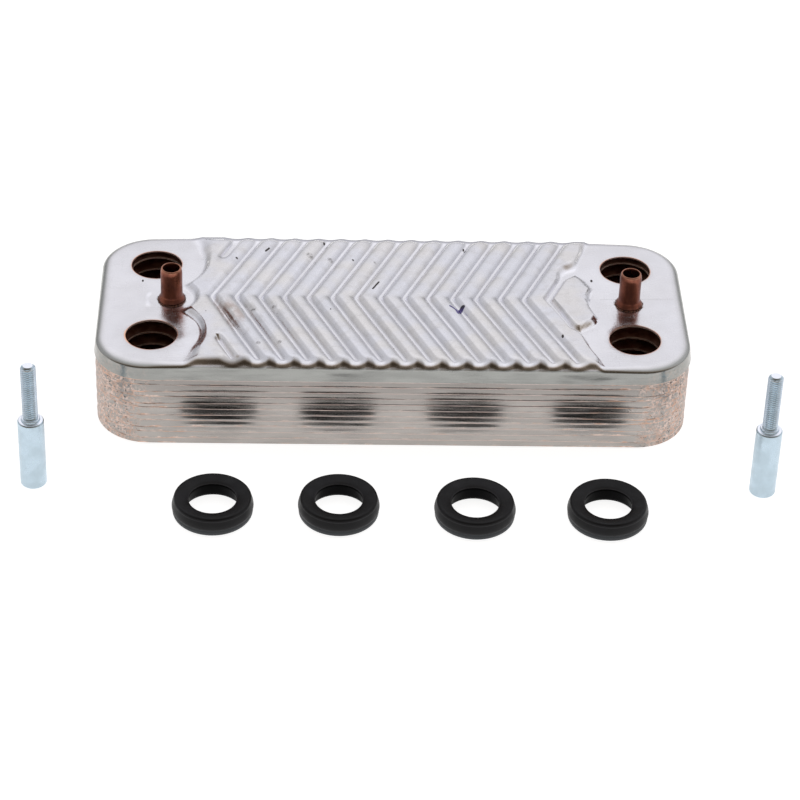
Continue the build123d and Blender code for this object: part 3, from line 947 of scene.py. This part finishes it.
def seam_bead(k):
    """Copper squeezed out under the edge of plate k's skirt, all the way round."""
    spot, out = skirt_outline(k)
    edge_z = (PLATES - 1 - k) * PITCH
    wave = edge_wave(spot[:, 0], spot[:, 1], k)
    level = edge_z + wave
    ends = towards_ends(spot[:, 0], *BEND_END)
    lump = ripple(spot[:, 0], spot[:, 1], 2.2, 3.1 * k) + 0.6 * ripple(
        spot[:, 0], spot[:, 1], 0.8, 2.3 * k + 7)
    push = DENT_DEPTH * dents(spot[:, 0], spot[:, 1], level) - SKIRT_INSET
    width = 0.17 + (0.04 + 0.07 * ends) * lump
    height = 0.20 + (0.05 + 0.12 * ends) * lump
    sides = 8
    points = []
    for turn in np.linspace(0, 2 * math.pi, sides, endpoint=False):
        offset = push - BEAD_INSET - wave * math.tan(DRAFT) + width * math.cos(turn)
        where = spot + out * offset[:, None]
        points.append(np.column_stack([where, level - BEAD_DROP + height * math.sin(turn)]))
    points = np.stack(points, 1).reshape(-1, 3)
    faces = ring_faces(len(spot), sides, close_rows=True)
    return points, faces


def ring_bead(centre, radius, level, seed):
    """Small braze fillet round a port."""
    section, sides, around = 0.16, 7, 44
    turn = np.linspace(0, 2 * math.pi, around, endpoint=False)[:, None]
    cut = np.linspace(0, 2 * math.pi, sides, endpoint=False)[None, :]
    lump = ripple(3 * np.cos(turn), 3 * np.sin(turn), 1.1, seed)
    size = section * (1 + 0.35 * lump)
    r = radius + size * np.cos(cut)
    x = centre[0] + r * np.cos(turn)
    y = centre[1] + r * np.sin(turn)
    z = level + size * np.sin(cut)
    return np.stack([x, y, z], -1).reshape(-1, 3), ring_faces(around, sides, close_rows=True)


def joined(parts):
    """One point list and one face list out of several."""
    points, faces, count = [], [], 0
    for p, f in parts:
        points.append(p)
        faces.append(f + count)
        count += len(p)
    return np.concatenate(points), np.concatenate(faces)


def braze(k, material):
    """The melted foil between plates k and k + 1: the seam bead and the beads in the wells."""
    parts = [seam_bead(k)]
    touching_row = -1 if k % 2 == 0 else 1
    level = (PLATES - 2 - k) * PITCH + SKIRT + PRESS + 0.05
    if k < PLATES - 2:
        for sx in (-1, 1):
            centre = (sx * PORT_X, touching_row * PORT_Y)
            parts.append(ring_bead(centre, PORT_RADIUS + 0.12, level, 2.7 * k + sx))
    points, faces = joined(parts)
    obj = new_mesh(f"braze_seam_{k + 1:02d}", points, faces[:, ::-1], [material])
    return finish_shading(obj, 180)


# ---- turned pieces
COLLAR_SHARE = 0.87       # radius of a tube's collar, as a share of its box
SEAL_BORE = 7.3
SEAL_FOOT_BORE = 8.9
SEAL_SEGMENTS = 144
BARREL_TOP = 24.2         # height of a stud's plain barrel
THREAD_PITCH = 0.8
THREAD_RADIUS = 2.4
THREAD_ROOT = 1.98
THREAD_STEPS = 9          # rows of points on each turn of the thread
TIP_BEVEL = 0.8


def box_radius(node):
    low, high = box_mm(node)
    return (high[0] - low[0]) / 2


def collar_radius(side):
    return COLLAR_SHARE * box_radius(f"copper_tube_{side}")


def copper_tube(side, material):
    """Drawn tube through the pack, flared a little at its mouth and belled at its foot."""
    low, high = box_mm(f"copper_tube_{side}")
    outer, bore = TUBE_RADIUS, TUBE_BORE
    foot = PAD_Z + 0.03
    collar = collar_radius(side)
    profile = rounded_profile([
        (bore, low[2], 0), (outer - 0.02, low[2], 0), (outer - 0.02, foot, 0),
        (collar, foot, 0.2), (collar + 0.12, foot + 0.5, 0.5), (outer + 0.45, foot + 1.25, 0.7),
        (outer + 0.02, foot + 1.9, 0.6), (outer - 0.05, foot + 6.0, 0), (outer, high[2] - 1.5, 0.6),
        (outer - 0.28, high[2] - 0.25, 0.4), (outer - 0.45, high[2], 0.15),
        (bore + 0.1, high[2], 0.15), (bore, high[2] - 0.7, 0.3),
    ], 5)
    centre = (TUBE_X[side], 0)

    def wobble(r, z, turn):
        near_top = smooth((z - foot - 1.0) / 2)
        lean = 0.04 * near_top * np.cos(turn * 2 + (0.6 if side == "left" else 2.0))
        at_foot = smooth((foot + 1.3 - z) / 1.2) * smooth((z - foot + 0.3) / 0.2)
        uneven = 0.05 * at_foot * (np.sin(3 * turn + 1) + np.sin(5 * turn))
        return r + lean * (r > bore + 0.3) + uneven * (r > outer + 0.1), z

    obj = lathe(f"copper_stub_{side}", profile, centre, [material], 80, wobble=wobble)
    return finish_shading(obj, 50)


def solder_foot(side, material):
    """Uneven scorched bead where the tube's foot meets the cover."""
    seed = 4.0 if side == "left" else 11.0
    turn = np.linspace(0, 2 * math.pi, 120, endpoint=False)[:, None]
    cut = np.linspace(0, math.pi, 9)[None, :]
    lump = 0.5 * ripple(5 * np.cos(turn), 5 * np.sin(turn), 2.3, seed) + 0.5 * ripple(
        5 * np.cos(turn), 5 * np.sin(turn), 0.8, seed + 3)
    size = np.clip(0.30 + 0.42 * lump, 0.1, 0.75)
    r = collar_radius(side) + 0.08 + size * np.cos(cut)
    z = PAD_Z - 0.03 + 0.8 * size * np.sin(cut)
    points = np.stack([TUBE_X[side] + r * np.cos(turn), r * np.sin(turn), z], -1)
    faces = ring_faces(len(turn), 9, close_rows=True, close_columns=True)
    obj = new_mesh(f"solder_foot_{side}", points.reshape(-1, 3), faces[:, ::-1], [material])
    return finish_shading(obj, 180)


def port_seal(i, rubber, shaded):
    """Moulded ring: a foot band, a shallow neck, a conical flank and a dished mouth with a lip."""
    low, high = box_mm(f"port_seal_{i}")
    centre = (low + high)[:2] / 2
    outer = box_radius(f"port_seal_{i}")
    top = high[2] - low[2]
    bore = [(SEAL_BORE + 0.06, top - 1.12, 0), (SEAL_BORE, top - 1.6, 0.4),
            (SEAL_BORE + 0.95, 0.9, 0.6), (SEAL_FOOT_BORE, 0, 0)]
    outside = rounded_profile([
        (SEAL_FOOT_BORE, 0, 0), (outer - 1.1, 0, 0.15), (outer - 0.35, 0.55, 0.5),
        (outer - 0.18, 1.6, 0.4), (outer - 0.38, 2.25, 0.2), (outer - 0.1, 2.6, 0.2),
        (outer, 3.1, 0.5), (outer - 0.12, 3.9, 0.5), (outer - 0.72, top - 0.4, 0.5),
        (outer - 1.08, top - 0.1, 0.3), (outer - 1.5, top, 0.3), (outer - 3.15, top - 0.25, 0.8),
        (SEAL_BORE + 0.9, top - 0.6, 0.6), (SEAL_BORE + 0.12, top - 0.98, 0.1),
        (SEAL_BORE + 0.06, top - 1.12, 0),
    ], 5)
    profile = np.concatenate([outside, rounded_profile(bore, 4)[1:-1]])

    def wobble(r, z, turn):
        return r + 0.035 * smooth((z - 2) / 3) * np.sin(2 * turn + i), z + low[2]

    obj = lathe(f"lip_seal_{i}", profile, centre, [rubber, shaded], SEAL_SEGMENTS, wobble=wobble)
    rows = np.repeat(np.arange(len(profile)), SEAL_SEGMENTS)
    in_bore = (rows >= len(outside) - 1).astype(np.int32)
    obj.data.polygons.foreach_set("material_index", in_bore)
    return finish_shading(obj, 40)


def fixing_stud(side, material):
    """Shouldered stud: turned barrel below, cut thread above with a chamfered tip."""
    low, high = box_mm(f"fixing_stud_{side}")
    centre = (low + high)[:2] / 2
    barrel = box_radius(f"fixing_stud_{side}")
    neck = BARREL_TOP + 0.8
    body = rounded_profile([
        (0.02, 0, 0), (barrel - 0.45, 0, 0.12), (barrel, 0.45, 0.2),
        (barrel, BARREL_TOP - 0.35, 0.2), (barrel - 0.35, BARREL_TOP, 0.12),
        (2.95, BARREL_TOP + 0.02, 0.1), (2.9, neck - 0.15, 0.12), (2.7, neck, 0.1), (2.0, neck, 0),
    ], 5)
    heights = np.arange(neck - 0.02, high[2] - 0.02, THREAD_PITCH / THREAD_STEPS)
    screw = np.column_stack([np.full(len(heights), THREAD_RADIUS), heights])
    tip = np.array([(1.55, high[2]), (0.02, high[2])])
    profile = np.concatenate([body, screw, tip])
    first, last = len(body), len(body) + len(screw)

    def wobble(r, z, turn):
        phase = (z[first:last] - neck) / THREAD_PITCH - turn / (2 * math.pi)
        crest = 1 - np.abs(2 * (phase - np.floor(phase)) - 1)
        depth = (THREAD_RADIUS - THREAD_ROOT) * (1 - smooth((crest - 0.12) / 0.76))
        run_in = smooth((z[first:last] - neck) / 1.2)
        cone = np.clip((z[first:last] - (high[2] - TIP_BEVEL)) / TIP_BEVEL, 0, 1)
        r = r.copy()
        r[first:last] = THREAD_RADIUS - np.maximum(depth * (0.35 + 0.65 * run_in), 0.85 * cone)
        return r, z

    obj = lathe(f"threaded_stud_{side}", profile, centre, [material], 72, closed=False,
                wobble=wobble)
    return finish_shading(obj, 32)


# ---- the object
cover_top = cover_steel()
# the cover's skirt takes the darker steel: painted shade
cover_side = side_steel("cover_skirt_steel", SKIRT_STEEL, 0.15, 0.0)
strip_side = side_steel("strip_steel", STRIP_STEEL, 1.0, 1.0)
inside = inner_steel()
braze_metal = braze_copper()
tube_metal = tube_copper()
solder = dark_solder()
rubber = black_rubber("moulded_rubber", 1.0, 0.24, 1.0)
# a darker copy of the rubber for the bore: painted shade inside the rings
bore_rubber = black_rubber("moulded_rubber_bore", 0.2, 0.02, 0.0)
zinc = zinc_plate()

PORT_HOLES = [(sx * PORT_X, sy * PORT_Y, PORT_RADIUS) for sx in (-1, 1) for sy in (-1, 1)]
TUBE_HOLES = [(TUBE_X[s], 0, TUBE_RADIUS + 0.05) for s in ("left", "right")]
FINE = [-3.4, -2.8, -2.2, -1.75, -1.35, -1.0, -0.7, -0.42, -0.15, 0.15, 0.42, 0.7, 1.0, 1.35,
        1.75, 2.2, 2.8, 3.4]
COARSE = [-3.0, -1.6, -0.7, 0.7, 1.6, 3.0]


def add(piece, body, slot, *nodes):
    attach(piece, body)
    if nodes:
        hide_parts(*nodes)


cover = tray(0, cover_raise, 1, APEX_Y, FINE, 0.72, 0.62, PORT_HOLES + TUBE_HOLES,
             [cover_top, cover_side, inside, inside], 0.16)
add(cover, "pack", "stainless_steel", "cover_plate")
for k in range(1, PLATES):
    holes = TUBE_HOLES if k == PLATES - 1 else PORT_HOLES + TUBE_HOLES
    plate = tray(k, channel_raise(k), -1 if k % 2 else 1, 0.0, COARSE, 1.3, 1.25, holes,
                 [inside if k < PLATES - 1 else strip_side, strip_side] + [inside] * 2, 0.0)
    add(plate, "pack", "stainless_steel", NODES[k])
for k in range(PLATES - 1):
    add(braze(k, braze_metal), "pack", "braze_copper", f"copper_foil_{k + 1:02d}")
for side in ("left", "right"):
    add(copper_tube(side, tube_metal), "pack", "copper_tube", f"copper_tube_{side}")
    add(solder_foot(side, solder), "pack", "braze_copper")
    add(fixing_stud(side, zinc), f"stud_{side}", "zinc_plated_steel", f"fixing_stud_{side}")
for i in range(1, 5):
    add(port_seal(i, rubber, bore_rubber), f"seal_{i}", "rubber", f"port_seal_{i}")


# ---- stage, light and camera
FLOOR_HALF = 4.0          # the stage is in metres
FLOOR_DROP = 0.00002
CAMERA_PLACE = (-0.029694, -0.798661, 0.572305)
CAMERA_TURNS = (2.38, 36.05, 2.02)    # yaw, pitch and roll in degrees
FOCAL_LENGTH = 134.26


def stage_floor():
    """Plain white floor that glows a little, so that it stays even right up to the object."""
    floor_mesh = bpy.data.meshes.new("floor")
    corners = [(sx * FLOOR_HALF, sy * FLOOR_HALF, 0)
               for sx, sy in ((-1, -1), (1, -1), (1, 1), (-1, 1))]
    floor_mesh.from_pydata(corners, [], [(0, 1, 2, 3)])
    floor = bpy.data.objects.new("floor", floor_mesh)
    bpy.context.scene.collection.objects.link(floor)
    floor.location.z = -FLOOR_DROP
    white = bpy.data.materials.new("white_table")
    white.use_nodes = True
    shader = white.node_tree.nodes["Principled BSDF"]
    shader.inputs["Base Color"].default_value = (0.42, 0.42, 0.42, 1)
    shader.inputs["Roughness"].default_value = 0.8
    shader.inputs["Emission Color"].default_value = (1, 1, 1, 1)
    shader.inputs["Emission Strength"].default_value = 0.9
    floor_mesh.materials.append(white)


def studio_world():
    """Soft white studio: bright behind and overhead, dimmer and warmer low in front."""
    world = bpy.data.worlds.new("studio")
    bpy.context.scene.world = world
    world.use_nodes = True
    net = Nodes(world.node_tree)
    room = net.tree.nodes["Background"]
    x, y, z = net.split(net.node("TexCoord").outputs["Generated"])
    dim = net.both(net.ramp(y, 0.28, -0.48), net.ramp(z, 0.16, 0.42))
    level = net.both(net.ramp(z, 0.02, 0.5, 0.6, 0.97),
                     net.calc("SUBTRACT", 1.0, net.both(dim, 0.86)),
                     net.ramp(x, -0.6, -0.2, 0.78, 1.0))
    net.feed(room.inputs["Color"], net.mix(dim, (0.99, 0.99, 1.03), (1.0, 0.78, 0.56)))
    net.feed(room.inputs["Strength"], level)
    plain = net.node("Background")
    plain.inputs["Color"].default_value = (1, 1, 1, 1)
    seen = net.node("LightPath").outputs["Is Camera Ray"]
    pick = net.node("MixShader")
    for socket, value in zip(pick.inputs, (seen, room.outputs[0], plain.outputs[0])):
        net.feed(socket, value)
    net.feed(net.tree.nodes["World Output"].inputs["Surface"], pick.outputs[0])


def overhead_light():
    """Weak softbox above and behind."""
    light = bpy.data.lights.new("overhead", "AREA")
    light.shape = "RECTANGLE"
    light.size, light.size_y = 1.6, 0.8
    light.energy = 0.5
    box = bpy.data.objects.new("overhead", light)
    box.location = (0.1, 0.9, 1.3)
    box.rotation_euler = (-box.location).to_track_quat("-Z", "Y").to_euler()
    bpy.context.scene.collection.objects.link(box)


def photo_camera():
    """Camera above and in front, a little to the left, turned slightly on its axis."""
    yaw, pitch, roll = (math.radians(v) for v in CAMERA_TURNS)
    ahead = Vector((math.sin(yaw) * math.cos(pitch), math.cos(yaw) * math.cos(pitch),
                    -math.sin(pitch)))
    right = Vector((math.cos(yaw), -math.sin(yaw), 0))
    up = right.cross(ahead)
    turned_right = right * math.cos(roll) + up * math.sin(roll)
    turned_up = up * math.cos(roll) - right * math.sin(roll)
    lens = bpy.data.cameras.new("camera")
    lens.sensor_width = 36.0
    lens.lens = FOCAL_LENGTH
    lens.clip_start, lens.clip_end = 0.01, 50
    camera = bpy.data.objects.new("camera", lens)
    axes = Matrix((turned_right, turned_up, -ahead)).transposed().to_4x4()
    camera.matrix_world = Matrix.Translation(CAMERA_PLACE) @ axes
    bpy.context.scene.collection.objects.link(camera)
    bpy.context.scene.camera = camera


stage_floor()
studio_world()
overhead_light()
photo_camera()
bpy.context.scene.view_settings.view_transform = "Standard"
